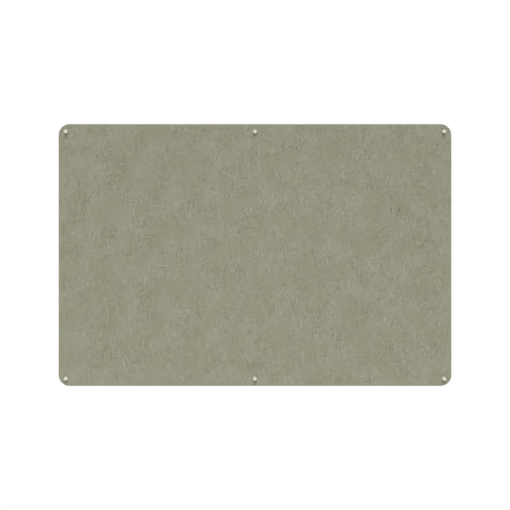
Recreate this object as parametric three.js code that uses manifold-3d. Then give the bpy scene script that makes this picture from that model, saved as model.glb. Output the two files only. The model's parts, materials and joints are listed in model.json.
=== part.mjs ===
// A frameless felt pinboard, held flat on a wall by six wall pins that are pushed through it near its
// edge. The board is a laminate of three sheets: a face felt, a cork core and a thin backing felt.
// Sizes are millimetres. X runs across the board, Z up and Y into the wall, so that the front faces -Y.
// The origin is the centre of the back, on the plane of the wall.

import * as THREE from "three";
import { mergeVertices } from "three/addons/utils/BufferGeometryUtils.js";
import Module from "manifold-3d";

const wasm = await Module();
wasm.setup();

// Outline of the board
const boardWidth = 900;
const boardHeight = 600;
const cornerRadius = 25;

// Sheets of the laminate, from the wall outwards
const backingThickness = 1.5;
const backingSetback = 2; // the backing is trimmed this far inside the board's edge
const coreThickness = 7.5;
const faceThickness = 3;
const faceEdgeRadius = 1.2; // cut felt goes round at its front edge

// Wall pins
const pinInset = 17; // from a pin's axis to the nearest edges
const needleRadius = 0.8;
const needleInHead = 6.4;
const needleInWall = 13;
const pointLength = 4.5;
const pointFlatRadius = 0.12; // the ground point is a little blunt
const needleChamfer = 0.2;
const needleClearance = 0.3; // all round the needle, in the sheets and in the head

// Head of a wall pin: a collar on the felt, a waist for the fingers and a button with a dished end
const headHeight = 10;
const collarRadius = 4.6;
const collarThickness = 1.9;
const collarRimRadius = 0.6;
const waistRadius = 2.6;
const shoulderLand = 0.2; // flat ring under the button, inside its rounded rim
const buttonRadius = 4.5;
const buttonThickness = 2.8;
const buttonRimRadius = 0.7;
const dishLand = 0.3; // flat ring round the dish, inside the rounded rim
const dishDepth = 0.7;

// Seat that a collar presses into the felt
const seatDepth = 0.6;
const seatSlope = 1.4; // how far out the felt slopes back up to its face
const seatClearance = 0.3;

// Facets of the round stretches
const cornerSteps = 8;
const edgeSteps = 4;
const headSides = 24;
const needleSides = 12;
const waistSteps = 8;
const rimSteps = 3;
const dishSteps = 4;

const cutOverrun = 1; // how far a cutter runs past what it cuts
const weld = 0.0001; // corners closer than this are one

const quarterTurn = Math.PI / 2;
const halfTurn = Math.PI;

// Heights over the wall, which run towards the front
const coreBack = backingThickness;
const faceBack = coreBack + coreThickness;
const boardThickness = faceBack + faceThickness;
const seatFloor = boardThickness - seatDepth;

const holeRadius = needleRadius + needleClearance;
const seatRadius = collarRadius + seatClearance;
const buttonFlatRadius = buttonRadius - buttonRimRadius;
const shoulderRadius = buttonFlatRadius - shoulderLand;
const dishRadius = buttonFlatRadius - dishLand;

// Where the six pins stand: a row along the top edge and one along the bottom
const pinReachX = boardWidth / 2 - pinInset;
const pinReachZ = boardHeight / 2 - pinInset;
const pinPlaces = [
  ["top_left", -pinReachX, pinReachZ],
  ["top_middle", 0, pinReachZ],
  ["top_right", pinReachX, pinReachZ],
  ["bottom_left", -pinReachX, -pinReachZ],
  ["bottom_middle", 0, -pinReachZ],
  ["bottom_right", pinReachX, -pinReachZ],
];

const materials = {
  faceFelt: new THREE.MeshStandardMaterial({ color: 0x959481, roughness: 0.95, metalness: 0 }),
  cork: new THREE.MeshStandardMaterial({ color: 0xa67c50, roughness: 0.85, metalness: 0 }),
  backingFelt: new THREE.MeshStandardMaterial({ color: 0x6a6860, roughness: 0.95, metalness: 0 }),
  ivoryPlastic: new THREE.MeshStandardMaterial({ color: 0xdad8c8, roughness: 0.4, metalness: 0 }),
  steel: new THREE.MeshStandardMaterial({ color: 0xb9bbbd, roughness: 0.3, metalness: 1 }),
};

// A closed geometry as a solid: shared corners are merged, and triangles pinched to nothing at an axis
// are dropped.
function solidOf(geometry) {
  geometry.deleteAttribute("normal");
  geometry.deleteAttribute("uv");
  const merged = mergeVertices(geometry, weld);
  const corners = merged.index.array;
  const triangles = [];
  for (let i = 0; i < corners.length; i += 3) {
    const [a, b, c] = [corners[i], corners[i + 1], corners[i + 2]];
    if (a !== b && b !== c && c !== a) triangles.push(a, b, c);
  }
  const mesh = new wasm.Mesh({
    numProp: 3,
    vertProperties: merged.attributes.position.array,
    triVerts: new Uint32Array(triangles),
  });
  return new wasm.Manifold(mesh);
}

function geometryOf(solid) {
  const mesh = solid.getMesh();
  const geometry = new THREE.BufferGeometry();
  geometry.setAttribute("position", new THREE.BufferAttribute(mesh.vertProperties, mesh.numProp));
  geometry.setIndex(new THREE.BufferAttribute(mesh.triVerts, 1));
  return geometry;
}

// A named piece, its faces flat-shaded so that each keeps its own normal
function piece(name, solid, material) {
  const geometry = geometryOf(solid).toNonIndexed();
  geometry.computeVertexNormals();
  const mesh = new THREE.Mesh(geometry, material);
  mesh.name = name;
  return mesh;
}

// The board's outline drawn inwards by a setback
function boardOutline(setback) {
  const x = boardWidth / 2 - cornerRadius;
  const y = boardHeight / 2 - cornerRadius;
  const radius = cornerRadius - setback;
  const outline = new THREE.Shape();
  outline.absarc(x, y, radius, 0, quarterTurn);
  outline.absarc(-x, y, radius, quarterTurn, halfTurn);
  outline.absarc(-x, -y, radius, halfTurn, halfTurn + quarterTurn);
  outline.absarc(x, -y, radius, halfTurn + quarterTurn, 2 * halfTurn);
  outline.closePath();
  return outline;
}

// A flat sheet of the board, from one height over the wall to another
function sheet(setback, back, front) {
  const slab = new THREE.ExtrudeGeometry(boardOutline(setback), {
    depth: front - back,
    bevelEnabled: false,
    curveSegments: cornerSteps,
  });
  return solidOf(slab.translate(0, 0, back));
}

// A sheet whose front edge is rounded: it is made with both edges round, and the back one is cut away
function roundedSheet(back, front, radius) {
  const slab = new THREE.ExtrudeGeometry(boardOutline(0), {
    depth: front - back,
    bevelEnabled: true,
    bevelThickness: radius,
    bevelSize: radius,
    bevelOffset: -radius,
    bevelSegments: edgeSteps,
    curveSegments: cornerSteps,
  });
  const spare = 2 * radius + cutOverrun;
  const below = new THREE.BoxGeometry(
    boardWidth + 2 * cutOverrun,
    boardHeight + 2 * cutOverrun,
    spare,
  );
  const whole = solidOf(slab.translate(0, 0, back - radius));
  return whole.subtract(solidOf(below.translate(0, 0, back - spare / 2)));
}

// A solid turned about its axis from a profile of radius against height
function turned(profile, sides) {
  return solidOf(new THREE.LatheGeometry(profile, sides));
}

// A turned cutter stood up on the board, its axis square to the face at one pin's place
function standing(solid, x, z) {
  return solid.rotate([THREE.MathUtils.radToDeg(quarterTurn), 0, 0]).translate([x, z, 0]);
}

const at = (radius, height) => new THREE.Vector2(radius, height);

// Points along an elliptical arc of a profile
function arc(centreRadius, centreHeight, reachOut, reachUp, from, to, steps) {
  const clockwise = to < from;
  const curve = new THREE.EllipseCurve(
    centreRadius,
    centreHeight,
    reachOut,
    reachUp,
    from,
    to,
    clockwise,
  );
  return curve.getPoints(steps);
}

// The needle's hole through every sheet
function needleHole() {
  return turned(
    [
      at(0, -cutOverrun),
      at(holeRadius, -cutOverrun),
      at(holeRadius, boardThickness + cutOverrun),
      at(0, boardThickness + cutOverrun),
    ],
    needleSides,
  );
}

// The shallow seat that the collar presses into the felt, sloping back up to the face around it
function collarSeat() {
  return turned(
    [
      at(0, seatFloor),
      at(seatRadius, seatFloor),
      at(seatRadius + seatSlope, boardThickness),
      at(seatRadius + seatSlope, boardThickness + cutOverrun),
      at(0, boardThickness + cutOverrun),
    ],
    headSides,
  );
}

// Head of a wall pin, its collar's back at height 0, with a blind socket for the needle
function pinHead() {
  const waistLow = collarThickness;
  const waistHigh = headHeight - buttonThickness;
  const waistMiddle = (waistLow + waistHigh) / 2;
  const waistReach = (waistHigh - waistLow) / 2;
  const dishSphere = (dishRadius ** 2 + dishDepth ** 2) / (2 * dishDepth);
  const dishCentre = headHeight - dishDepth + dishSphere;
  const dishStart = -Math.acos(dishRadius / dishSphere);
  const profile = [
    at(0, needleInHead),
    at(holeRadius, needleInHead),
    at(holeRadius, 0),
    at(collarRadius, 0),
    ...arc(
      collarRadius - collarRimRadius,
      collarThickness - collarRimRadius,
      collarRimRadius,
      collarRimRadius,
      0,
      quarterTurn,
      rimSteps,
    ),
    ...arc(
      shoulderRadius,
      waistMiddle,
      shoulderRadius - waistRadius,
      waistReach,
      halfTurn + quarterTurn,
      quarterTurn,
      waistSteps,
    ),
    ...arc(
      buttonFlatRadius,
      waistHigh + buttonRimRadius,
      buttonRimRadius,
      buttonRimRadius,
      -quarterTurn,
      0,
      rimSteps,
    ),
    ...arc(
      buttonFlatRadius,
      headHeight - buttonRimRadius,
      buttonRimRadius,
      buttonRimRadius,
      0,
      quarterTurn,
      rimSteps,
    ),
    ...arc(0, dishCentre, dishSphere, dishSphere, dishStart, -quarterTurn, dishSteps),
  ];
  return turned(profile, headSides);
}

// Needle of a wall pin, in the same heights as its head
function pinNeedle() {
  const tip = -(seatFloor + needleInWall);
  return turned(
    [
      at(0, tip),
      at(pointFlatRadius, tip),
      at(needleRadius, tip + pointLength),
      at(needleRadius, needleInHead - needleChamfer),
      at(needleRadius - needleChamfer, needleInHead),
      at(0, needleInHead),
    ],
    needleSides,
  );
}

// The three sheets, pierced by the needles, and the face felt pressed in under each collar
const hole = needleHole();
const seat = collarSeat();
let backing = sheet(backingSetback, 0, coreBack);
let core = sheet(0, coreBack, faceBack);
let face = roundedSheet(faceBack, boardThickness, faceEdgeRadius);
for (const [, x, z] of pinPlaces) {
  const pierced = standing(hole, x, z);
  backing = backing.subtract(pierced);
  core = core.subtract(pierced);
  face = face.subtract(pierced).subtract(standing(seat, x, z));
}

// The board lies on the wall plane, and its heights turn to face -Y.
const board = new THREE.Group();
board.rotation.x = quarterTurn;
board.add(piece("backing_felt", backing, materials.backingFelt));
board.add(piece("cork_core", core, materials.cork));
board.add(piece("face_felt", face, materials.faceFelt));

// Each wall pin stands on the floor of its seat.
const head = pinHead();
const needle = pinNeedle();
for (const [place, x, z] of pinPlaces) {
  const pin = new THREE.Group();
  pin.position.set(x, z, seatFloor);
  pin.rotation.x = quarterTurn;
  pin.add(piece("pin_head_" + place, head, materials.ivoryPlastic));
  pin.add(piece("pin_needle_" + place, needle, materials.steel));
  board.add(pin);
}

const pinboard = new THREE.Group();
pinboard.name = "pinboard";
pinboard.add(board);

export default pinboard;
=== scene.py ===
# A frameless felt pinboard, held to the wall by six wall pins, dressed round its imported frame.
# Sizes are metres. X runs across the board, Z up and Y into the wall, so that the front faces -Y.

import json
import math

import bmesh
import bpy
import numpy as np
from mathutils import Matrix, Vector, noise
from mathutils.geometry import delaunay_2d_cdt

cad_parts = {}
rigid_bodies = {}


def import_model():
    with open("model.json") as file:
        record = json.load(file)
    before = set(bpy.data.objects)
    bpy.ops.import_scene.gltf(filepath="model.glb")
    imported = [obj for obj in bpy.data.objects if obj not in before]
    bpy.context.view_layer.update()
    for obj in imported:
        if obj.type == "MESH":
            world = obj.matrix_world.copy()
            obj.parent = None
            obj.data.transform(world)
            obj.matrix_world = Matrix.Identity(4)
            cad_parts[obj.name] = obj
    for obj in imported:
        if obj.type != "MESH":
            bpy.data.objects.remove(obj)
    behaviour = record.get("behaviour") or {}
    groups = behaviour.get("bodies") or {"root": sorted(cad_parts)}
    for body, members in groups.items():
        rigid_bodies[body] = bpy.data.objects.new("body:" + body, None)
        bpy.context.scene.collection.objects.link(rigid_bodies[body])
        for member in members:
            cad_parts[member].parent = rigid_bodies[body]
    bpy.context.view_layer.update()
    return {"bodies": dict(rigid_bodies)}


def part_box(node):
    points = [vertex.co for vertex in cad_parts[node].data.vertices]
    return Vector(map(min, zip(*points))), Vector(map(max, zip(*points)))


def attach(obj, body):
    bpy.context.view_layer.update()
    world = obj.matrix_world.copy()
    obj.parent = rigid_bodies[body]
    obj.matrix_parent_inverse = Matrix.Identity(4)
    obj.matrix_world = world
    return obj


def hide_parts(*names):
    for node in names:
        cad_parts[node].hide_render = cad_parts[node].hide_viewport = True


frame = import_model()
mm = 0.001

# Camera
# The photograph looks straight at the middle of the board. The board's width in it, in pixels, and
# its real width give the scale at the felt's face.
PICTURE_SIDE = 510
BOARD_WIDTH_IN_PICTURE = 392.74
CAMERA_DISTANCE = 4.0

face_low, face_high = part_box("face_felt")
picture_width = (face_high.x - face_low.x) * PICTURE_SIDE / BOARD_WIDTH_IN_PICTURE
camera_data = bpy.data.cameras.new("camera")
camera_data.lens = camera_data.sensor_width * CAMERA_DISTANCE / picture_width
camera = bpy.data.objects.new("camera", camera_data)
camera.location = (0, face_low.y - CAMERA_DISTANCE, 0)
camera.rotation_euler = (math.radians(90), 0, 0)
bpy.context.scene.collection.objects.link(camera)
bpy.context.scene.camera = camera
bpy.context.scene.view_settings.view_transform = "Standard"


# Studio
# A white room, a pale floor well under the board, a tall strip of light above its front, a broad light
# before it and one behind. A light's share is how much of white it gives to a face square to the board.
class Net:
    """A node tree that is being wired."""

    def __init__(self, tree):
        self.tree = tree

    def node(self, kind, inputs=None, out=0, stops=(), **settings):
        """Adds a node: its settings first, then the values or links of its sockets, by name or number."""
        made = self.tree.nodes.new(kind)
        for name, value in settings.items():
            setattr(made, name, value)
        for i, (place, colour) in enumerate(stops):
            stop = made.color_ramp.elements[i] if i < 2 else made.color_ramp.elements.new(place)
            stop.position = place
            stop.color = (*colour, 1)
        for name, value in (inputs or {}).items():
            socket = made.inputs[name]
            if isinstance(value, Value):
                self.tree.links.new(value.socket, socket)
            else:
                socket.default_value = value
        return Value(self, made.outputs[out]) if made.outputs else None

    def maths(self, operation, *numbers):
        return self.node("ShaderNodeMath", dict(enumerate(numbers)), operation=operation)

    def vectors(self, operation, *vectors, out=0):
        return self.node("ShaderNodeVectorMath", dict(enumerate(vectors)), out, operation=operation)

    def scaled(self, vector, factor):
        """A colour or a direction times a number."""
        return self.node("ShaderNodeVectorMath", {0: vector, "Scale": factor}, operation="SCALE")

    def part(self, vector, axis="X"):
        """One of a vector's three numbers. Its others are this value's also."""
        return self.node("ShaderNodeSeparateXYZ", {0: vector}, axis)

    def mixed(self, share, first, second):
        """A mix of two colours."""
        return self.node("ShaderNodeMix", {0: share, 6: first, 7: second}, 2, data_type="RGBA")

    def noise(self, place, size, detail, out=0):
        """Noise whose lumps have this size: a number, or three with out="Color"."""
        return self.node("ShaderNodeTexNoise", {"Vector": place, "Scale": 1 / size, "Detail": detail}, out)


def sign(operation, turned=False):
    """What one of Python's signs does between a node's output and another, or a number before it."""

    def apply(value, other):
        pair = (other, value) if turned else (value, other)
        return value.net.maths(operation, *pair)

    return apply


class Value:
    """An output of a node, on which Python's signs add Math nodes."""

    __add__, __radd__ = sign("ADD"), sign("ADD", True)
    __sub__, __rsub__ = sign("SUBTRACT"), sign("SUBTRACT", True)
    __mul__, __rmul__ = sign("MULTIPLY"), sign("MULTIPLY", True)
    __truediv__, __pow__ = sign("DIVIDE"), sign("POWER")
    __lt__, __gt__ = sign("LESS_THAN"), sign("GREATER_THAN")
    larger = sign("MAXIMUM")

    def __init__(self, net, socket):
        self.net = net
        self.socket = socket

    def also(self, name):
        """Another output of the same node."""
        return Value(self.net, self.socket.node.outputs[name])

    def ease(self, low, high):
        """0 below low, 1 above high and a smooth rise between them."""
        inputs = {"Value": self, "From Min": low, "From Max": high}
        return self.net.node("ShaderNodeMapRange", inputs, interpolation_type="SMOOTHSTEP")


WHITE = (1, 1, 1, 1)
AMBIENT = 0.12

world = bpy.data.worlds.new("white_room")
bpy.context.scene.world = world
world.use_nodes = True
world.node_tree.nodes.clear()
net = Net(world.node_tree)
ray = net.node("ShaderNodeLightPath", out="Is Camera Ray")
seen = ray.larger(ray.also("Is Glossy Ray")).larger(ray.also("Is Transmission Ray"))
room = net.node("ShaderNodeBackground", {"Color": WHITE, "Strength": AMBIENT + (1 - AMBIENT) * seen})
net.node("ShaderNodeOutputWorld", {"Surface": room})


def add_sun(name, side, off_wall, spread, share):
    """A light as wide as spread, off_wall degrees out from the wall's plane and side degrees round."""
    out, turn = math.radians(off_wall), math.radians(side)
    along_wall = math.cos(out)
    towards = Vector((math.sin(turn) * along_wall, -math.sin(out), math.cos(turn) * along_wall))
    sun = bpy.data.lights.new(name, "SUN")
    sun.angle = math.radians(spread)
    sun.energy = share * math.pi / abs(towards.y)
    lamp = bpy.data.objects.new(name, sun)
    lamp.rotation_euler = towards.to_track_quat("Z", "Y").to_euler()
    bpy.context.scene.collection.objects.link(lamp)


# Name, degrees round from straight up, degrees out from the wall, degrees wide, share
for light in (
    ("strip_low", 0, 35, 9, 0.22),
    ("strip_high", 0, 60, 14, 0.29),
    ("front", -20, 84, 50, 0.175),
    ("back", 0, -50, 90, 0.5),
):
    add_sun(*light)

FLOOR_DROP = 450 * mm  # below the board's lower edge
FLOOR_REACH = 2.6
FLOOR_FADE = 1.4  # over which the floor thins out to the white room
FLOOR_BEHIND = 0.9  # how far it runs on behind the board, to where the photograph's view meets it

floor_mesh = bpy.data.meshes.new("floor")
floor = bpy.data.objects.new("floor", floor_mesh)
shape = bmesh.new()
bmesh.ops.create_circle(shape, cap_ends=True, radius=FLOOR_REACH, segments=96)
floor_centre = Vector((0, FLOOR_BEHIND - FLOOR_REACH, face_low.z - FLOOR_DROP))
bmesh.ops.translate(shape, verts=shape.verts, vec=floor_centre)
shape.to_mesh(floor_mesh)
shape.free()
floor_material = bpy.data.materials.new("pale_floor")
floor_material.use_nodes = True
floor_material.node_tree.nodes.clear()
net = Net(floor_material.node_tree)
ground = net.node("ShaderNodeTexCoord", out="Object")
from_centre = net.vectors("DISTANCE", ground, floor_centre, out="Value")
bare = net.node("ShaderNodeBsdfDiffuse", {"Color": (0.86, 0.86, 0.85, 1)})
gone = net.node("ShaderNodeBsdfTransparent")
faded = from_centre.ease(FLOOR_REACH - FLOOR_FADE, FLOOR_REACH * 0.97)
thinning = net.node("ShaderNodeMixShader", {0: faded, 1: bare, 2: gone})
net.node("ShaderNodeOutputMaterial", {"Surface": thinning})
floor_mesh.materials.append(floor_material)
bpy.context.scene.collection.objects.link(floor)


# Face felt
# Needle-punched felt in sage, olive and pale fibres, 3 mm thick and glued to the cork. It is die-cut
# with the board, so its front edge goes round a little, and each wall pin's collar presses it in.
CORNER = 25 * mm
FACE_EDGE = 1.2 * mm
EDGE_STEPS = 5
FACE_MESH = 2.9 * mm  # between the points of the felt's face
FACE_SWELL = 0.11 * mm
BROAD_SWELL = 34 * mm
SMALL_SWELL = 8 * mm
CUT_MESH = 0.7 * mm  # between the rings of points down the cut side
CUT_WAVER = 0.12 * mm  # how far the cut edge strays
WAVER_SIZE = 3.1 * mm
HOLE = 1.1 * mm
SEAT = 4.9 * mm
SEAT_DEPTH = 0.6 * mm
SEAT_SLOPE = 2.2 * mm
BARE = 7 * mm  # no loose fibre lies nearer to a pin than this
PILE_EASE = 4 * mm
SEAT_RINGS = (1.1, 1.9, 2.8, 3.7, 4.5, 5.1, 5.8, 6.6, 7.5, 8.6, 9.9)  # mm, from the hole's edge on
RING_SIDES = 28
NUDGE = 0.12  # how far a point of the lattice strays, in steps of the lattice

PINS = sorted(body for body in frame["bodies"] if body.startswith("pin_"))


def pin_axis(body):
    """Where a wall pin stands on the board: x and z of its axis."""
    low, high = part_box(body.replace("pin_", "pin_head_"))
    return np.array(((low.x + high.x) / 2, (low.z + high.z) / 2))


axes = np.array([pin_axis(body) for body in PINS])


def smooth(share):
    """0 below 0, 1 above 1 and a smooth rise between them."""
    share = np.clip(share, 0, 1)
    return share * share * (3 - 2 * share)


def rim(half_x, half_z, radius, step):
    """Centres and outward directions round a board. A ring lies at centres + reach * directions."""
    reach_x, reach_z = half_x - radius, half_z - radius
    corners = [(reach_x, reach_z), (-reach_x, reach_z), (-reach_x, -reach_z), (reach_x, -reach_z)]
    turn = round(math.pi / 2 * radius / step)
    centres, directions = [], []
    for k in range(4):
        here, following = np.array(corners[k]), np.array(corners[(k + 1) % 4])
        angles = [math.pi / 2 * (k + i / turn) for i in range(turn + 1)]
        centres += [here] * len(angles)
        run = round(float(np.linalg.norm(following - here)) / step)
        centres += [here + (following - here) * i / run for i in range(1, run)]
        angles += angles[-1:] * (run - 1)
        directions += [(math.cos(a), math.sin(a)) for a in angles]
    return np.array(centres), np.round(np.array(directions), 12)


def inside(points, half_x, half_z, radius):
    """How far points of the board's plane lie inside its outline."""
    over = np.abs(points) - (half_x - radius, half_z - radius)
    round_corner = np.hypot(*np.maximum(over, 0).T)
    return radius - np.where(over.max(1) > 0, round_corner, over.max(1))


def lattice(half_x, half_z, step):
    """Points in staggered rows, each nudged a little off its row."""
    rows = int(half_z / (step * math.sqrt(0.75)))
    columns = int(half_x / step)
    row, column = np.meshgrid(np.arange(-rows, rows + 1), np.arange(-columns, columns + 1))
    x = (column + row % 2 / 2) * step
    z = row * step * math.sqrt(0.75)
    nudge = np.random.default_rng(7).uniform(-NUDGE, NUDGE, (x.size, 2)) * step
    return np.c_[x.ravel(), z.ravel()] + nudge


def circles(radii):
    """Rings of points round each pin's axis, the smallest radius first."""
    angles = np.arange(RING_SIDES) * 2 * math.pi / RING_SIDES
    ring = np.c_[np.cos(angles), np.sin(angles)]
    return [axis + ring * radius for axis in axes for radius in radii]


needle_holes = circles([HOLE])


def net_of(outer, loose):
    """Triangles that fill the outer ring round the needle holes. Points: outer, the holes, loose."""
    points = np.concatenate([outer, *needle_holes, loose])
    ring = list(range(len(outer)))
    _, _, faces, *_ = delaunay_2d_cdt([Vector(p) for p in points.tolist()], [], [ring], 1, 1e-9, False)
    faces = np.array(faces)
    hole = np.full(len(points), -1)
    for k in range(len(needle_holes)):
        hole[len(outer) + k * RING_SIDES :][:RING_SIDES] = k
    owner = hole[faces]
    filled = (owner[:, 0] >= 0) & (owner[:, 0] == owner[:, 1]) & (owner[:, 1] == owner[:, 2])
    # A triangle in a hollow of the outer ring goes backwards round it, so its steps make two rounds.
    steps = (np.roll(faces, -1, axis=1) - faces) % len(outer)
    outside = (faces.max(1) < len(outer)) & (steps.sum(1) > len(outer))
    return points, faces[~filled & ~outside]


def bridge(first, second):
    """Quads between two closed rings of point numbers."""
    return np.c_[first, np.roll(first, -1), np.roll(second, -1), second]


def add_flat_side(points, faces, outer, ring, y):
    """Fills a rim's ring with a flat side at y. Returns the number of its first hole's first point."""
    side, side_faces = net_of(outer, np.empty((0, 2)))
    first = sum(len(p) for p in points)
    added = side[len(outer) :]
    points.append(np.c_[added[:, 0], np.full(len(added), y), added[:, 1]])
    faces += np.r_[ring, np.arange(first, first + len(added))][side_faces].tolist()
    return first


def add_hole_walls(faces, first, second):
    """Joins the needle holes of two sides, given the number of each side's first point of a hole."""
    for k in range(len(needle_holes)):
        ring = np.arange(RING_SIDES) + k * RING_SIDES
        faces += bridge(first + ring, second + ring).tolist()


def make_piece(name, points, faces, material=None):
    """A closed mesh of its own, its faces pointing outwards."""
    mesh = bpy.data.meshes.new(name)
    mesh.from_pydata(points, [], faces)
    shape = bmesh.new()
    shape.from_mesh(mesh)
    bmesh.ops.recalc_face_normals(shape, faces=shape.faces)
    for face in shape.faces:
        face.smooth = True
    shape.to_mesh(mesh)
    shape.free()
    piece = bpy.data.objects.new(name, mesh)
    bpy.context.scene.collection.objects.link(piece)
    if material:
        mesh.materials.append(material)
    return piece


def mark(piece, name, where, value):
    """A number on each point of a mesh, 0 but where it is given."""
    numbers = np.zeros(len(piece.data.vertices), np.float32)
    numbers[where] = value
    piece.data.attributes.new(name, "FLOAT", "POINT").data.foreach_set("value", numbers)


STRIP_MARGIN = 0.06  # above and below a strip of the rim, in strips
WALL_SHARE = 0.6  # a face that spans more of the thickness than this is the wall of a hole
WALL_BAND = 0.004


def bake_map(piece, rings, strips, band, fine, plain):
    """A piece's map: its rim in strips one over another, its two sides each over the whole width.

    rings holds the numbers of the rim's points, a row to each ring from the fine side to the plain one.
    band, fine and plain are where the rim and the two sides lie in the map's height, from 0 to 1.
    """
    mesh = piece.data
    corner = np.empty(len(mesh.loops), np.int32)
    mesh.loops.foreach_get("vertex_index", corner)
    first = np.empty(len(mesh.polygons), np.int32)
    mesh.polygons.foreach_get("loop_start", first)
    of_face = np.repeat(np.arange(len(first)), np.diff(np.r_[first, len(corner)]))
    place = np.empty(3 * len(mesh.vertices), np.float32)
    mesh.vertices.foreach_get("co", place)
    place = place.reshape(-1, 3)

    def lowest(numbers):
        return np.minimum.reduceat(numbers, first)[of_face]

    def highest(numbers):
        return np.maximum.reduceat(numbers, first)[of_face]

    # The rim, whose last column of faces ends on the first column of points
    ring, column = np.full((2, len(place)), -1)
    ring[rings] = np.arange(len(rings))[:, None]
    column[rings] = np.arange(rings.shape[1])
    ring, column = ring[corner], column[corner]
    on_rim = (lowest(ring) >= 0) & (highest(ring) > lowest(ring))
    column = np.where((column == 0) & (highest(column) - lowest(column) > 1), rings.shape[1], column)
    reach = np.linalg.norm(np.diff(place[rings], axis=0), axis=2).mean(1).cumsum()
    down = np.r_[0, reach / reach[-1]][ring]
    in_strip = math.ceil(rings.shape[1] / strips)
    strip = lowest(column) // in_strip
    rim_u = column / in_strip - strip
    in_band = (strip + STRIP_MARGIN + (1 - 2 * STRIP_MARGIN) * down) / strips
    rim_v = band[0] + (band[1] - band[0]) * in_band

    # The two sides, and the walls of the holes between them
    flat, deep = place[:, [0, 2]], place[:, 1]
    across = ((flat - flat.min(0)) / np.ptp(flat, axis=0))[corner]
    back = np.abs(deep - place[rings[0, 0], 1])[corner]
    thickness = abs(place[rings[-1, 0], 1] - place[rings[0, 0], 1])
    wall = highest(back) - lowest(back) > WALL_SHARE * thickness
    on_fine = lowest(back) < WALL_SHARE * thickness
    low, high = (np.where(on_fine, fine[end], plain[end]) for end in (0, 1))
    nearest = axes[np.argmin([np.hypot(*(flat - axis).T) for axis in axes], axis=0)]
    turn = np.abs(np.arctan2(*(flat - nearest).T))[corner] / math.pi
    side_u = np.where(wall, turn, across[:, 0])
    side_v = np.where(wall, WALL_BAND * back / thickness, low + (high - low) * across[:, 1])
    u, v = np.where(on_rim, rim_u, side_u), np.where(on_rim, rim_v, side_v)
    layer = mesh.uv_layers.new(name="OFBake")
    layer.data.foreach_set("uv", np.c_[u, v].astype(np.float32).ravel())


def near_pins(points):
    """Each point's distance from the nearest pin's axis."""
    return np.min([np.hypot(*(points - axis).T) for axis in axes], axis=0)


def swell(points, size, seed):
    """The slow rise and fall of a felt's face, about 1 either way."""
    return np.array([noise.fractal((x / size, z / size, seed), 0.9, 2.1, 3) for x, z in points])


def corner_of(node):
    """A sheet's corner radius: the board's, less how far the sheet is set back from its edge."""
    return CORNER - (face_high.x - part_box(node)[1].x)


def felt_sheet(name, node, out, edge, step, swell_height, seated, seed, material):
    """A sheet of felt. Its fine side faces out along Y, and its plain side is the one that is glued."""
    low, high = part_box(node)
    half_x, half_z = (high.x - low.x) / 2, (high.z - low.z) / 2
    corner = corner_of(node)
    fine_y, plain_y = (low.y, high.y) if out < 0 else (high.y, low.y)
    centres, directions = rim(half_x, half_z, corner, step)
    count = len(centres)
    radii = [r * mm for r in SEAT_RINGS] if seated else [HOLE]
    spots = lattice(half_x, half_z, step)
    # Spots too near to the rim or to a pin's rings would make slivers.
    off_rim = inside(spots, half_x, half_z, corner) > edge + 0.6 * step
    clear = off_rim & (near_pins(spots) > radii[-1] + 0.5 * step)
    outer = centres + (corner - edge) * directions
    flat, faces = net_of(outer, np.concatenate([*circles(radii[1:]), spots[clear]]))
    away = near_pins(flat)
    free = smooth((away - SEAT) / SEAT_SLOPE)
    pressed = SEAT_DEPTH * (1 - free) if seated else 0
    height = swell(flat, BROAD_SWELL, seed) + 0.5 * swell(flat, SMALL_SWELL, seed + 5)
    y = fine_y + out * (swell_height * free * height - pressed)
    points = [np.c_[flat[:, 0], y, flat[:, 1]]]
    faces = faces.tolist()

    # The rounded edge and the cut side, ring by ring down to the plain side
    rings = [np.arange(count)]
    profile = [
        (edge * (1 - math.sin(a)), edge * (1 - math.cos(a)))
        for a in (math.pi / 2 * i / EDGE_STEPS for i in range(1, EDGE_STEPS + 1))
    ]
    depth = abs(plain_y - fine_y)
    down = max(1, round((depth - edge) / CUT_MESH))
    profile += [(0, edge + (depth - edge) * i / down) for i in range(1, down + 1)]
    last, total = np.arange(count), len(flat)
    rim_height = swell_height * height[:count]
    for setback, drop in profile:
        place = centres + (corner - setback) * directions
        stray = CUT_WAVER * min(1, drop / edge) * swell(place + drop * 3, WAVER_SIZE, seed + 9)
        place += directions * (stray - CUT_WAVER * 0.4)[:, None]
        ring_y = fine_y - out * drop + out * rim_height * max(0, 1 - drop / edge)
        points.append(np.c_[place[:, 0], ring_y, place[:, 1]])
        ring = np.arange(total, total + count)
        faces += bridge(last, ring).tolist()
        rings.append(ring)
        last, total = ring, total + count

    # The plain side shares the last ring, and the holes' walls join the two sides.
    plain_side = add_flat_side(points, faces, points[-1][:, [0, 2]], last, plain_y)
    add_hole_walls(faces, count, plain_side)
    piece = make_piece(name, np.concatenate(points), faces, material)
    bake_map(piece, np.array(rings), 4, (0.028, 0.08), (0.085, 1), (0.008, 0.024))
    mark(piece, "pile", slice(len(flat)), smooth((away - BARE) / PILE_EASE))
    mark(piece, "pressed", slice(len(flat)), (1 - free) * seated)
    mark(piece, "cut", slice(len(flat) + count, len(flat) + count * len(profile)), 1)
    return piece


def new_material(name):
    """A material with a Principled shader: (its Net, a function that sets the shader's sockets)."""
    material = bpy.data.materials.new(name)
    material.use_nodes = True
    material.node_tree.nodes.clear()
    net = Net(material.node_tree)

    def finish_material(**sockets):
        inputs = {key.replace("_", " ").title().replace("Ior", "IOR"): v for key, v in sockets.items()}
        shader = net.node("ShaderNodeBsdfPrincipled", inputs)
        net.node("ShaderNodeOutputMaterial", {"Surface": shader})

    return material, net, finish_material


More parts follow.
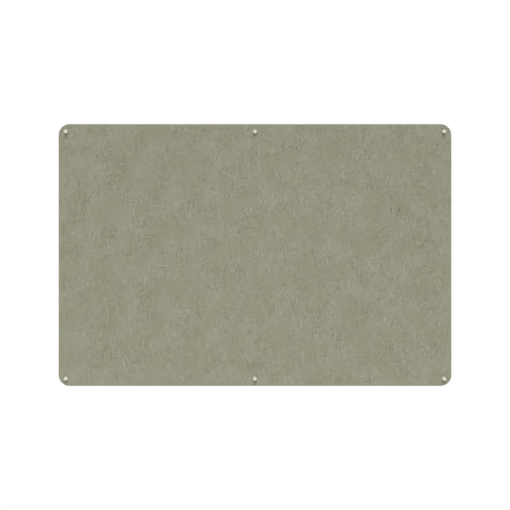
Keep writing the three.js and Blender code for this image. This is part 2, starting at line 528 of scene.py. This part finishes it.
def grain(net, place, sizes, turn=(0, 0, 0), detail=2.0, rough=0.5, seed=0.0):
    """Noise whose lumps have these sizes along X, Y and Z, turned by turn degrees."""
    inputs = {
        "Vector": place,
        "Location": (70 * mm * seed, 50 * mm * seed, 90 * mm * seed),
        "Rotation": tuple(math.radians(t) for t in turn),
        "Scale": sizes,
    }
    at = net.node("ShaderNodeMapping", inputs, vector_type="TEXTURE")
    return net.node("ShaderNodeTexNoise", {"Vector": at, "Scale": 1, "Detail": detail, "Roughness": rough})


def crowding(net, place):
    """How thickly the fibre lies, 0 to 1, in patches: the felt's material and its loose fibre share it."""
    return net.noise(place, 46 * mm, 2).ease(0.36, 0.64)


def felt_material(name, straw, ash, moss, rose, seed):
    """Melange felt: slow drifts between four hues, streaks of fibre that sway, and single hairs."""
    material, net, finish_material = new_material(name)
    place = net.node("ShaderNodeTexCoord", out="Object")
    bent = net.vectors("MULTIPLY_ADD", net.noise(place, 26 * mm, 1.5, "Color"), (16 * mm,) * 3, place)

    # The hues: straw and ash in turn, with some moss and rose over them
    drift = grain(net, place, (52 * mm,) * 3, detail=3, seed=seed)
    blotch = grain(net, place, (30 * mm, 30 * mm, 42 * mm), seed=seed + 17)
    colour = net.mixed(drift.ease(0.41, 0.59), straw, ash)
    colour = net.mixed(0.3 * blotch.ease(0.52, 0.66), colour, moss)
    colour = net.mixed(0.3 - 0.3 * blotch.ease(0.34, 0.48), colour, rose)

    # Broad clouds, and pale and deep streaks of fibre that stand upright or lie level
    clouds = grain(net, place, (34 * mm, 34 * mm, 46 * mm), seed=seed + 3) - 0.5
    upright = grain(net, bent, (6.5 * mm, 6.5 * mm, 17 * mm), detail=2.5, seed=seed + 5)
    level = grain(net, bent, (17 * mm, 6.5 * mm, 6.5 * mm), detail=2.5, seed=seed + 8)
    pale = upright.ease(0.56, 0.74) + 0.8 * level.ease(0.6, 0.76)
    deep = (1 - upright.ease(0.26, 0.44)) + 0.8 * (1 - level.ease(0.24, 0.4))

    # Tufts of one dye, paler or deeper than the felt, that lie three ways
    tufts = 0
    for k, (turn, share) in enumerate(((8, 1), (-14, 1), (80, 0.7))):
        tuft = grain(net, bent, (3.6 * mm, 3.6 * mm, 13 * mm), (0, turn, 0), 1.5, seed=seed + 31 + 4 * k)
        tufts = tufts + share * (tuft.ease(0.6, 0.8) + tuft.ease(0.2, 0.4) - 1)
    tufts = tufts * (0.45 + crowding(net, place))

    # Single hairs that curl and lie four ways
    curl = net.noise(place, 3.6 * mm, 1.5, "Color")
    hairs, raised = 0, 0
    for k, (turn, reach) in enumerate(((6, 2.4), (-40, -2.4), (52, 1.6), (88, -1.6))):
        curled = net.vectors("MULTIPLY_ADD", curl, (reach * mm, 0, reach * mm), place)
        sizes = ((0.2 + 0.03 * k) * mm, 0.6 * mm, 4.5 * mm)
        hair = grain(net, curled, sizes, (0, turn, 0), 1, seed=seed + 51 + 4 * k)
        light, dark = hair.ease(0.56, 0.74), 1 - hair.ease(0.26, 0.44)
        hairs, raised = hairs + light - dark, raised + light + dark

    # The cut side shows the fibre in layers instead.
    cut = net.node("ShaderNodeAttribute", attribute_name="cut", out="Fac")
    layers = grain(net, place, (1.6 * mm, 0.2 * mm, 1.6 * mm), detail=3, seed=seed + 71) - 0.5
    hairs = hairs + cut * (4 * layers - hairs)
    fuzz = grain(net, place, (0.4 * mm,) * 3, detail=3, rough=0.65, seed=seed + 75) - 0.5

    # The felt under and round a pin's collar is pressed flatter, and painted darker there as contact shade
    # round the collar.
    pressed = net.node("ShaderNodeAttribute", attribute_name="pressed", out="Fac")
    shade = 0.99 + 0.15 * clouds + 0.12 * pale - 0.1 * deep + 0.18 * tufts
    shade = (shade + 0.11 * hairs + 0.12 * fuzz) * (1 - 0.12 * pressed)
    height = 0.3 * pale - 0.3 * deep + 0.4 * tufts
    height = height + (1 - 0.5 * pressed) * (0.6 * raised + 1.6 * fuzz)
    bump = {"Height": height, "Distance": 0.14 * mm, "Strength": 0.7}
    colour = net.scaled(colour, shade)
    finish_material(
        base_color=colour,
        roughness=0.96,
        specular_ior_level=0.2,
        sheen_weight=0.06,
        sheen_roughness=0.5,
        normal=net.node("ShaderNodeBump", bump),
    )
    return material


face_material = felt_material(
    "melange_felt",
    (0.2935, 0.2883, 0.2065, 1),
    (0.3122, 0.3037, 0.2338, 1),
    (0.2920, 0.2985, 0.2180, 1),
    (0.3130, 0.2925, 0.2200, 1),
    0.0,
)
face_felt = felt_sheet(
    "felt_face", "face_felt", -1, FACE_EDGE, FACE_MESH, FACE_SWELL, True, 1.0, face_material
)
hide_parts("face_felt")
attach(face_felt, "board")


# Loose fibre on the face
# The felt's top fibres lie on it in wisps of a few, side by side, curved, most of them upright. Each is
# a wool-like strand 0.2 mm thick, paler or darker than the felt, held down in it at both ends.
FIBRE = 0.1 * mm  # a strand's radius
WISPS = 1890  # in a square metre, in each of the pieces that share them
FACE_PIECES = 5
STRANDS = 5  # in a wisp
UPRIGHT_SHARE = 0.62  # of the wisps. The rest lie level or any way.
LEVEL_SHARE = 0.19
NEP_SHARE = 0.36  # of the wisps are neps: short, tight and much curled
NEP_LENGTH = 3.4  # mm
# Attributes that only the making of a piece needs
WORKING = "root heading bend length tone nep beside slip fan swayed lift along astray lean curl".split()
WORKING += ["pile", "pressed", "cut", "id"]

SOCKETS = {
    bpy.types.Object: "NodeSocketObject",
    bpy.types.Material: "NodeSocketMaterial",
    float: "NodeSocketFloat",
    int: "NodeSocketInt",
}


def new_tree(name, values, mesh_in=False):
    """A Geometry Nodes tree with an input for each named value: (the tree, its Net, gives an input)."""
    tree = bpy.data.node_groups.new(name, "GeometryNodeTree")
    tree.interface.new_socket("Made", in_out="OUTPUT", socket_type="NodeSocketGeometry")
    if mesh_in:
        tree.interface.new_socket("Mesh", in_out="INPUT", socket_type="NodeSocketGeometry")
    for label, value in values.items():
        tree.interface.new_socket(label, in_out="INPUT", socket_type=SOCKETS[type(value)])
    net = Growth(tree)
    return tree, net, net.node("NodeGroupInput").also


class Growth(Net):
    """A Geometry Nodes tree that is being wired."""

    def chances(self, seed):
        """A function that gives each element a random number, with a salt of its own at each call."""
        salt = iter(range(100))

        def chance(low, high):
            inputs = {2: low, 3: high, 8: seed + next(salt)}
            return self.node("FunctionNodeRandomValue", inputs, 1)

        return chance

    def keep(self, geometry, kind="FLOAT", domain="POINT", **values):
        """Stores values of each element under their names."""
        for label, value in values.items():
            inputs = {"Geometry": geometry, "Name": label, "Value": value}
            kinds = {"data_type": kind, "domain": domain}
            geometry = self.node("GeometryNodeStoreNamedAttribute", inputs, **kinds)
        return geometry

    def kept(self, label, kind="FLOAT"):
        return self.node("GeometryNodeInputNamedAttribute", {"Name": label}, data_type=kind)

    def lines(self, points, count):
        """A line of count points on each of the points, with how far along it each lies, 0 to 1."""
        line = self.node("GeometryNodeCurvePrimitiveLine", {"End": (0, 0, mm)})
        line = self.node("GeometryNodeResampleCurve", {"Curve": line, "Count": count})
        lines = self.node("GeometryNodeInstanceOnPoints", {"Points": points, "Instance": line})
        lines = self.node("GeometryNodeRealizeInstances", {"Geometry": lines})
        return self.keep(lines, along=self.node("GeometryNodeSplineParameter"))

    def hand_out(self, made, material):
        """Gives what the tree has made its material and ends the tree."""
        made = self.node("GeometryNodeRealizeInstances", {"Geometry": made})
        made = self.node("GeometryNodeSetMaterial", {"Geometry": made, "Material": material})
        self.node("NodeGroupOutput", {0: made})


def thicken(net, strands, radius, material):
    """Curves turned into tubes of three sides. A tube's map gives its tone across and its length up."""
    section = net.node("GeometryNodeCurvePrimitiveCircle", {"Resolution": 3, "Radius": 1.0})
    tube = {"Curve": strands, "Profile Curve": section, "Scale": radius, "Fill Caps": True}
    strands = net.node("GeometryNodeCurveToMesh", tube)
    facing = net.part(net.node("GeometryNodeInputNormal"))
    across = net.kept("tone") + 0.004 * facing  # so that a tube's faces don't fold to a line in the map
    place = net.node("ShaderNodeCombineXYZ", {"X": across, "Y": net.kept("along")})
    strands = net.keep(strands, "FLOAT2", "CORNER", OFBake=place)
    strands = net.node("GeometryNodeSetShadeSmooth", {"Geometry": strands})
    net.hand_out(strands, material)


def grown(name, tree, values, mesh=None):
    """A plain mesh made by a Geometry Nodes tree: the tree's named inputs get these values."""
    piece = bpy.data.objects.new(name, mesh or bpy.data.meshes.new(name))
    bpy.context.scene.collection.objects.link(piece)
    modifier = piece.modifiers.new(name, "NODES")
    modifier.node_group = tree
    for item in tree.interface.items_tree:
        if item.in_out == "INPUT" and item.name in values:
            modifier[item.identifier] = values[item.name]
    piece.update_tag()
    evaluated = piece.evaluated_get(bpy.context.evaluated_depsgraph_get())
    result = bpy.data.meshes.new_from_object(evaluated)
    piece.modifiers.remove(modifier)
    piece.data = result
    for label in [a.name for a in result.attributes if a.name in WORKING]:
        result.attributes.remove(result.attributes[label])
    return piece


def wisps(name, felt, out, per_square_metre, seed, material):
    """A piece of loose fibre over the whole of a felt's fine side."""
    values = {
        "Felt": felt,
        "Wisps in a square metre": float(per_square_metre),
        "Strands in a wisp": STRANDS,
        "Strand radius": FIBRE,
        "Seed": seed,
        "Fibre": material,
    }
    tree, net, given = new_tree(name, values)
    ground = net.node("GeometryNodeObjectInfo", {"Object": given("Felt")}, "Geometry")
    chance, keep, kept = net.chances(given("Seed")), net.keep, net.kept

    # A wisp's root, heading in degrees from upright, turn from end to end, length in mm and tone
    crowd = crowding(net, net.node("GeometryNodeInputPosition"))
    density = given("Wisps in a square metre") * kept("pile") * (0.15 + 1.65 * crowd)
    spread = {"Mesh": ground, "Density": density, "Seed": given("Seed")}
    strands = net.node("GeometryNodeDistributePointsOnFaces", spread)
    pick = chance(0, 1)
    level = (pick > UPRIGHT_SHARE) * (pick < UPRIGHT_SHARE + LEVEL_SHARE) * 90
    any_way = (pick > UPRIGHT_SHARE + LEVEL_SHARE) * chance(0, 180)
    heading = level + any_way + chance(-18, 18) + chance(-14, 14)
    nep = chance(0, 1) < NEP_SHARE
    bend = (chance(-0.65, 0.65) + chance(-0.65, 0.65)) * (1 + 1.6 * nep)
    long = 6 + 8 * chance(0, 1) + 16 * chance(0, 1) * chance(0, 1)
    length = long + nep * (NEP_LENGTH - long)
    lean = chance(-1, 1)
    tone = 0.5 + (0.46 * lean * net.maths("ABSOLUTE", lean) + 0.04 * net.maths("SIGN", lean))
    strands = keep(strands, "FLOAT_VECTOR", root=net.node("GeometryNodeInputPosition"))
    heading = heading * math.radians(1)
    strands = keep(strands, heading=heading, nep=nep, bend=bend, length=length * mm, tone=tone)

    # Its strands: three side by side, then two of the opposite tone 2 mm off, each a little out of step.
    # The opposite tone is painted light and shade: beside a pale wisp the pair is its painted shadow,
    # beside a deep one a painted highlight.
    bundle = {"Geometry": strands, "Amount": given("Strands in a wisp")}
    strands = net.node("GeometryNodeDuplicateElements", bundle)
    place = strands.also("Duplicate Index") - 2
    other = place > 0.5
    beside = 0.66 * place + 1.6 * other - 0.6 + chance(-0.2, 0.2)
    strands = keep(
        strands,
        beside=beside * (1 - 0.45 * kept("nep")) * mm,
        tone=kept("tone") + other * (0.5 - kept("tone")) * 1.8,
        heading=kept("heading") + chance(-0.16, 0.16),
        bend=kept("bend") + chance(-0.5, 0.5),
        slip=chance(-0.3, 0.3),
        fan=chance(-0.6, 0.6),
        swayed=chance(50, 53) * mm,
        lift=chance(0.03, 0.13) * mm,
    )
    strands = net.lines(strands, 7)

    # The strand's way over the board, as an arc that wavers. It is drawn well off the board, each
    # strand at a distance of its own, so that no two waver alike.
    step = kept("along") - 0.5 + kept("slip")
    turn = kept("bend") * step
    ahead = kept("length") * step * (1 - turn * turn / 6)
    aside = kept("length") * turn * step / 2 + kept("beside") * (1 + kept("fan") * step)
    sine, cosine = net.maths("SINE", kept("heading")), net.maths("COSINE", kept("heading"))
    root = net.part(kept("root", "FLOAT_VECTOR"))
    x = root + ahead * sine + aside * cosine
    z = root.also("Z") + ahead * cosine - aside * sine
    way = net.node("ShaderNodeCombineXYZ", {"X": x, "Y": out * kept("swayed"), "Z": z})
    way = net.vectors("MULTIPLY_ADD", net.noise(way, 4.2 * mm, 1, "Color"), (2.4 * mm,) * 3, way)

    # It lies on the felt and sinks into it at both ends. A strand that reaches a pin's seat is left out.
    down = {"Target Geometry": ground, "Attribute": kept("pile"), "Source Position": way}
    hit = net.node("GeometryNodeRaycast", {**down, "Ray Direction": (0, -out, 0)})
    arch = kept("along") * (1 - kept("along")) * 4
    over = net.node("ShaderNodeCombineXYZ", {"Y": out * (kept("lift") * arch ** 0.5 - 0.5 * FIBRE)})
    lying = net.vectors("ADD", hit.also("Hit Position"), over)
    strands = keep(strands, astray=(hit.also("Attribute") < 0.5) + (1 - hit.also("Is Hit")))
    strands = net.node("GeometryNodeSetPosition", {"Geometry": strands, "Position": lying})
    astray = {"Geometry": strands, "Selection": kept("astray") > 0}
    strands = net.node("GeometryNodeDeleteGeometry", astray, domain="CURVE")
    # A strand is thinnest at its ends, and a pale one is thinner than a deep one.
    radius = given("Strand radius") * (1.2 - 0.45 * kept("tone")) * (0.25 + 0.75 * arch ** 0.5)
    thicken(net, strands, radius, given("Fibre"))
    return grown(name, tree, values)


def fibre_material(name, deep, middle, pale):
    """Matte fibre whose tone is the strand's own, read from across its map, with painted shade towards the
    strand's ends.
    """
    material, net, finish_material = new_material(name)
    tone = net.part(net.node("ShaderNodeUVMap", uv_map="OFBake"))
    stops = ((0.0, deep), (1.0, pale), (0.5, middle))
    colour = net.node("ShaderNodeValToRGB", {0: tone}, stops=stops)
    # Painted shade: a strand is darker towards its ends, where a wisp's strand sinks into the felt, than
    # in its middle, where it arches highest.
    along = tone.also("Y")
    colour = net.scaled(colour, 0.93 + 0.28 * along * (1 - along))
    finish_material(base_color=colour, roughness=0.9, specular_ior_level=0.15)
    return material


strand_material = fibre_material(
    "melange_fibre",
    (0.095, 0.092, 0.066),
    (0.305, 0.298, 0.219),
    (0.860, 0.845, 0.720),
)
face_wisps = [
    wisps(f"face_wisps_{k + 1}", face_felt, -1, WISPS, 11 + 100 * k, strand_material)
    for k in range(FACE_PIECES)
]
for piece in face_wisps:
    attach(piece, "board")


# Fuzz of the cut edge
# Where the face felt is die-cut, the ends of its fibres stand out of the cut side by a millimetre or
# so, every way. They are part of the felt.
HAIR = 0.03 * mm  # a hair's radius
CUT_HAIRS = 800000.0  # in a square metre of the cut side
HAIR_STRAY = 0.9  # how far a hair leans and curls off the side's own direction, in its lengths


def cut_fuzz(name, felt, per_square_metre, seed, material):
    """Short hairs that stand out of a felt's cut side."""
    values = {
        "Felt": felt,
        "Hairs in a square metre": per_square_metre,
        "Hair radius": HAIR,
        "Seed": seed,
        "Fibre": material,
    }
    tree, net, given = new_tree(name, values)
    ground = net.node("GeometryNodeObjectInfo", {"Object": given("Felt")}, "Geometry")
    chance, keep, kept = net.chances(given("Seed")), net.keep, net.kept
    density = given("Hairs in a square metre") * kept("cut")
    # The glued side shares its rim with the cut side, but has no hairs.
    slope = net.part(net.node("GeometryNodeInputNormal"), "Y")
    on_side = {"Value": net.maths("ABSOLUTE", slope) < 0.9}
    spread = {
        "Mesh": ground,
        "Selection": net.node("GeometryNodeFieldOnDomain", on_side, domain="FACE"),
        "Density": density,
        "Seed": given("Seed"),
    }
    hairs = net.node("GeometryNodeDistributePointsOnFaces", spread)
    out = hairs.also("Normal")
    lean, curl = (
        net.node("ShaderNodeCombineXYZ", {k: chance(-HAIR_STRAY, HAIR_STRAY) for k in "XYZ"})
        for _ in range(2)
    )
    lean = net.vectors("MULTIPLY_ADD", out, (0.7,) * 3, lean)
    root = net.node("GeometryNodeInputPosition")
    hairs = keep(hairs, "FLOAT_VECTOR", root=root, lean=lean, curl=curl)
    length = 0.5 + 1.1 * chance(0, 1) * chance(0, 1)
    hairs = keep(hairs, length=length * mm, tone=chance(0.2, 0.75))
    hairs = net.lines(hairs, 4)
    along = kept("along")
    # A hair starts a little inside the felt.
    way = net.scaled(kept("lean", "FLOAT_VECTOR"), kept("length") * (along - 0.1))
    curl = net.scaled(kept("curl", "FLOAT_VECTOR"), kept("length") * along * along * 0.7)
    way = net.vectors("ADD", net.vectors("ADD", way, curl), kept("root", "FLOAT_VECTOR"))
    hairs = net.node("GeometryNodeSetPosition", {"Geometry": hairs, "Position": way})
    thicken(net, hairs, given("Hair radius") * (1.1 - 0.7 * along), given("Fibre"))
    return grown(name, tree, values)


edge_fuzz = cut_fuzz("face_edge_fuzz", face_felt, CUT_HAIRS, 41, strand_material)
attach(edge_fuzz, "board")


# Cork core
# Bonded cork granulate, 7.5 mm thick, cut through with the felt. Its cut edge shows granules of two to
# three millimetres, sliced flat or torn out, with dark binder between them. So does the rim of its back.
GRANULE = 2.6 * mm
CORK_GRID = 0.65 * mm
RIM_ROWS = 5  # rows of the grid on the back, past the backing felt's edge
CREVICE = 0.16 * mm  # the depth of the gaps between granules
TORN = 0.45 * mm  # the depth where a granule is torn out
TORN_SHARE = 0.16


def granules(net, place):
    """Each granule's own shade, and how far a place is inside its granule's border, in granules."""
    sway = net.noise(place, GRANULE / 1.6, 1, "Color")
    bent = net.vectors("MULTIPLY_ADD", sway, (0.5 * GRANULE,) * 3, place)
    inputs = {"Vector": bent, "Scale": 1 / GRANULE}
    shade = net.part(net.node("ShaderNodeTexVoronoi", inputs, "Color"))
    return shade, net.node("ShaderNodeTexVoronoi", inputs, feature="DISTANCE_TO_EDGE")


cork_material, net, finish_material = new_material("bonded_cork")
place = net.node("ShaderNodeTexCoord", out="Object")
shade, inwards = granules(net, place)
cells = grain(net, place, (0.35 * mm,) * 3)
streaks = grain(net, place, (1.1 * mm, 0.5 * mm, 0.5 * mm), (20, 35, 50))
stops = (
    (0.0, (0.190, 0.085, 0.032)),
    (1.0, (0.610, 0.385, 0.178)),
    (0.18, (0.290, 0.140, 0.055)),
    (0.5, (0.430, 0.233, 0.095)),
    (0.8, (0.520, 0.305, 0.132)),
)
colour = net.node("ShaderNodeValToRGB", {0: shade}, stops=stops)
colour = net.scaled(colour, 0.78 + 0.3 * cells + 0.28 * streaks.ease(0.3, 0.7))
binder = 1 - inwards.ease(0.02, 0.1)
colour = net.mixed(0.75 * binder, colour, (0.105, 0.052, 0.024, 1))
bump = {"Height": 0.5 * cells - 0.8 * binder, "Distance": 0.25 * mm, "Strength": 0.6}
finish_material(
    base_color=colour,
    roughness=0.82 + 0.1 * binder,
    specular_ior_level=0.3,
    normal=net.node("ShaderNodeBump", bump),
)

low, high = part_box("cork_core")
centres, directions = rim(high.x, high.z, CORNER, CORK_GRID)
count = len(centres)
rows = round((high.y - low.y) / CORK_GRID)
profile = [(0, low.y + (high.y - low.y) * i / rows) for i in range(rows + 1)]
profile += [(i * CORK_GRID, high.y) for i in range(1, RIM_ROWS + 1)]
rings = [centres + (CORNER - setback) * directions for setback, _ in profile]
points = [np.c_[ring[:, 0], np.full(count, y), ring[:, 1]] for ring, (_, y) in zip(rings, profile)]
numbers = np.arange(count * len(profile)).reshape(len(profile), count)
faces = np.concatenate([bridge(first, second) for first, second in zip(numbers, numbers[1:])]).tolist()
front_side = add_flat_side(points, faces, rings[0], numbers[0], low.y)
back_side = add_flat_side(points, faces, rings[-1], numbers[-1], high.y)
add_hole_walls(faces, front_side, back_side)
plain_cork = make_piece("cork", np.concatenate(points), faces)
bake_map(plain_cork, numbers, 17, (0.1, 1), (0.008, 0.05), (0.054, 0.096))
# The relief leaves the rim's first row and its last two as they are.
mark(plain_cork, "cut", slice(count, count * (len(profile) - 2)), 1)

values = {"Crevice": CREVICE, "Torn granule": TORN, "Material": cork_material}
tree, net, given = new_tree("cork_relief", values, True)
shade, inwards = granules(net, net.node("GeometryNodeInputPosition"))
torn = (shade.also("Y") < TORN_SHARE) * inwards.ease(0.0, 0.2)
depth = given("Torn granule") * torn + given("Crevice") * (1 - inwards.ease(0.0, 0.14))
depth = depth * net.kept("cut")
inward = net.scaled(net.node("GeometryNodeInputNormal"), 0 - depth)
relief = net.node("GeometryNodeSetPosition", {"Geometry": given("Mesh"), "Offset": inward})
net.hand_out(relief, given("Material"))
cork_core = grown("cork_granulate", tree, values, plain_cork.data)
bpy.data.objects.remove(plain_cork)
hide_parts("cork_core")
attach(cork_core, "board")


# Backing felt
# Plain grey-brown needle felt, 1.5 mm thick, glued to the cork with its edge trimmed 2 mm inside the
# board's. It spares the wall, and its fibre lies every way.
BACK_EDGE = 0.4 * mm
BACK_MESH = 4.2 * mm
BACK_SWELL = 0.05 * mm

back_material = felt_material(
    "plain_felt",
    (0.145, 0.138, 0.114, 1),
    (0.144, 0.138, 0.119, 1),
    (0.140, 0.139, 0.116, 1),
    (0.149, 0.137, 0.117, 1),
    3.0,
)
backing_felt = felt_sheet(
    "felt_back", "backing_felt", 1, BACK_EDGE, BACK_MESH, BACK_SWELL, False, 2.0, back_material
)
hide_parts("backing_felt")
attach(backing_felt, "board")

dark_strand = fibre_material(
    "plain_fibre",
    (0.085, 0.080, 0.066),
    (0.140, 0.134, 0.113),
    (0.240, 0.230, 0.200),
)
back_wisps = wisps("back_wisps", backing_felt, 1, WISPS, 507, dark_strand)
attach(back_wisps, "board")


# Pin heads
# Ivory polystyrene, moulded in two halves round the needle: a collar that bears on the felt, a waist
# for the fingers and a button with a dished end. They have a fine parting line and a gate mark.
HEAD_SIDES = 72
RIM_STEPS = 8
WAIST_STEPS = 22
DISH_STEPS = 12
FOOT_STEPS = 4
SEAM_HEIGHT = 0.035 * mm
SEAM_WIDTH = 1.1  # degrees either side of the parting line
SEAM_TURNS = (92.5, 272.5)  # degrees round the head
SEAM_FROM = 1.5 * mm  # no parting line nearer to the felt or to the axis than this
SOCKET = 0.83 * mm
SOCKET_END = 6.4 * mm
SOCKET_FLARE = 0.2 * mm
SOCKET_MOUTH = 0.25 * mm
HEAD_HEIGHT = 10 * mm
COLLAR = 4.6 * mm
COLLAR_THICKNESS = 1.9 * mm
COLLAR_EDGE = 0.6 * mm
WAIST = 2.6 * mm
SHOULDER = 3.6 * mm
BUTTON = 4.5 * mm
BUTTON_THICKNESS = 2.8 * mm
BUTTON_EDGE = 0.7 * mm
DISH = 3.5 * mm
DISH_DEPTH = 0.7 * mm
DISH_LIP = 0.12 * mm
GATE = 0.55 * mm
GATE_HEIGHT = 0.13 * mm
FOOT_EDGE = 0.15 * mm


def arc(centre, reach, start, end, steps):
    """Radius and height along part of an ellipse, in degrees, without its first point."""
    angles = [math.radians(start + (end - start) * i / steps) for i in range(1, steps + 1)]
    return [(centre[0] + reach[0] * math.cos(a), centre[1] + reach[1] * math.sin(a)) for a in angles]


def lathe(name, axis, base, profile, sides, seams=(), seam_from=0, material=None):
    """A body turned from (radius, height) points that begin and end on the axis, its heights out of base.

    seams are lines up its side, as (angle, height over the side), past seam_from in height and radius.
    """
    angles = sorted([2 * math.pi * i / sides for i in range(sides)] + [a for a, _ in seams])
    extra = dict(seams)
    points = [(axis[0], base - profile[0][1], axis[1])]
    for radius, height in profile[1:-1]:
        for a in angles:
            r = radius + (extra.get(a, 0) if height > seam_from and radius > seam_from else 0)
            points.append((axis[0] + r * math.cos(a), base - height, axis[1] + r * math.sin(a)))
    points.append((axis[0], base - profile[-1][1], axis[1]))
    count, last = len(angles), len(points) - 1
    rings = [np.arange(count) + 1 + count * i for i in range(len(profile) - 2)]
    faces = [face for first, second in zip(rings, rings[1:]) for face in bridge(first, second).tolist()]
    for pole, ring in ((0, rings[0]), (last, rings[-1])):
        faces += [(pole, int(a), int(b)) for a, b in zip(ring, np.roll(ring, -1))]
    return make_piece(name, points, faces, material)


foot = COLLAR - FOOT_EDGE
collar_top = COLLAR_THICKNESS - COLLAR_EDGE
middle = (COLLAR_THICKNESS + HEAD_HEIGHT - BUTTON_THICKNESS) / 2
button = BUTTON - BUTTON_EDGE
button_low = HEAD_HEIGHT - BUTTON_THICKNESS + BUTTON_EDGE
dish_sphere = (DISH * DISH + DISH_DEPTH * DISH_DEPTH) / (2 * DISH_DEPTH)
dish_centre = (0, HEAD_HEIGHT - DISH_DEPTH + dish_sphere)
dish_start = -math.degrees(math.acos(DISH / dish_sphere))
dish_end = -math.degrees(math.acos(GATE / dish_sphere))
dish_floor = dish_centre[1] + dish_sphere * math.sin(math.radians(dish_end))
head_profile = [
    (0, SOCKET_END),
    (SOCKET, SOCKET_END),
    (SOCKET, SOCKET_MOUTH),
    (SOCKET + SOCKET_FLARE, 0),
    (foot, 0),
    *arc((foot, FOOT_EDGE), (FOOT_EDGE, FOOT_EDGE), -90, 0, FOOT_STEPS),
    (COLLAR, collar_top),
    *arc((COLLAR - COLLAR_EDGE, collar_top), (COLLAR_EDGE, COLLAR_EDGE), 0, 90, RIM_STEPS),
    (SHOULDER, COLLAR_THICKNESS),
    *arc((SHOULDER, middle), (SHOULDER - WAIST, middle - COLLAR_THICKNESS), 270, 90, WAIST_STEPS),
    (button, HEAD_HEIGHT - BUTTON_THICKNESS),
    *arc((button, button_low), (BUTTON_EDGE, BUTTON_EDGE), -90, 0, RIM_STEPS),
    *arc((button, HEAD_HEIGHT - BUTTON_EDGE), (BUTTON_EDGE, BUTTON_EDGE), 0, 90, RIM_STEPS),
    (DISH + DISH_LIP, HEAD_HEIGHT),
    (DISH + 0.25 * DISH_LIP, HEAD_HEIGHT - 0.1 * DISH_LIP),
    *arc(dish_centre, (dish_sphere, dish_sphere), dish_start - 2, dish_end, DISH_STEPS),
    (GATE * 0.94, dish_floor + 0.8 * GATE_HEIGHT),
    (GATE * 0.7, dish_floor + GATE_HEIGHT),
    (GATE * 0.3, dish_floor + 0.75 * GATE_HEIGHT),
    (0, dish_floor + 0.85 * GATE_HEIGHT),
]
seam_shape = ((-1, 0), (-0.45, 0.8), (0, 1), (0.45, 0.8), (1, 0))
seams = [
    (math.radians(turn + SEAM_WIDTH * offset), SEAM_HEIGHT * share)
    for turn in SEAM_TURNS
    for offset, share in seam_shape
]

material, net, finish_material = new_material("ivory_plastic")
place = net.node("ShaderNodeTexCoord", out="Object")
flow = grain(net, place, (5 * mm,) * 3)
scuffs = grain(net, place, (0.9 * mm,) * 3, detail=3, rough=0.6)
colour = net.mixed(flow.ease(0.3, 0.7), (0.625, 0.612, 0.510, 1), (0.645, 0.632, 0.534, 1))
bump = {"Height": scuffs, "Distance": 0.03 * mm, "Strength": 0.25}
finish_material(
    base_color=colour,
    roughness=0.36 + 0.16 * scuffs,
    normal=net.node("ShaderNodeBump", bump),
)
for body in PINS:
    node = body.replace("pin_", "pin_head_")
    name, axis, base = node + "_moulded", pin_axis(body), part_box(node)[1].y
    head = lathe(name, axis, base, head_profile, HEAD_SIDES, seams, SEAM_FROM, material)
    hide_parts(node)
    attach(head, body)


# Pin needles
# Hard drawn steel wire, 1.6 mm thick, bonded in the head. It goes through all three sheets and on into
# the wall, and its point is ground to a long cone.
NEEDLE = 0.8 * mm
NEEDLE_SIDES = 32
NEEDLE_CHAMFER = 0.2 * mm
POINT_LENGTH = 4.5 * mm
POINT_FLAT = 0.1 * mm
GROUND_FROM = 8.5 * mm  # along Y, where the drawn wire ends and the ground point begins
GROUND_FADE = 0.3 * mm

material, net, finish_material = new_material("drawn_steel")
place = net.node("ShaderNodeTexCoord", out="Object")
drawn = grain(net, place, (0.12 * mm, 9 * mm, 0.12 * mm))
ground = grain(net, place, (3 * mm, 0.14 * mm, 3 * mm))
at_point = net.part(place, "Y").ease(GROUND_FROM - GROUND_FADE, GROUND_FROM + GROUND_FADE)
marks = drawn * (1 - at_point) + ground * at_point
bump = {"Height": marks, "Distance": 0.03 * mm, "Strength": 0.4}
finish_material(
    base_color=net.scaled((0.56, 0.565, 0.57), 0.86 + 0.14 * marks),
    metallic=1.0,
    roughness=0.2 + 0.16 * marks + 0.08 * at_point,
    normal=net.node("ShaderNodeBump", bump),
)
for body in PINS:
    node = body.replace("pin_", "pin_needle_")
    low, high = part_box(node)
    length = high.y - low.y
    needle_profile = [
        (0, 0),
        (POINT_FLAT * 0.7, 0.03 * mm),
        (POINT_FLAT, 0.1 * mm),
        (NEEDLE * 0.985, POINT_LENGTH),
        (NEEDLE, POINT_LENGTH + 0.25 * mm),
        (NEEDLE, length - NEEDLE_CHAMFER),
        (NEEDLE - NEEDLE_CHAMFER, length),
        (0, length),
    ]
    name, axis = node + "_drawn", pin_axis(body)
    needle = lathe(name, axis, high.y, needle_profile, NEEDLE_SIDES, material=material)
    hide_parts(node)
    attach(needle, body)
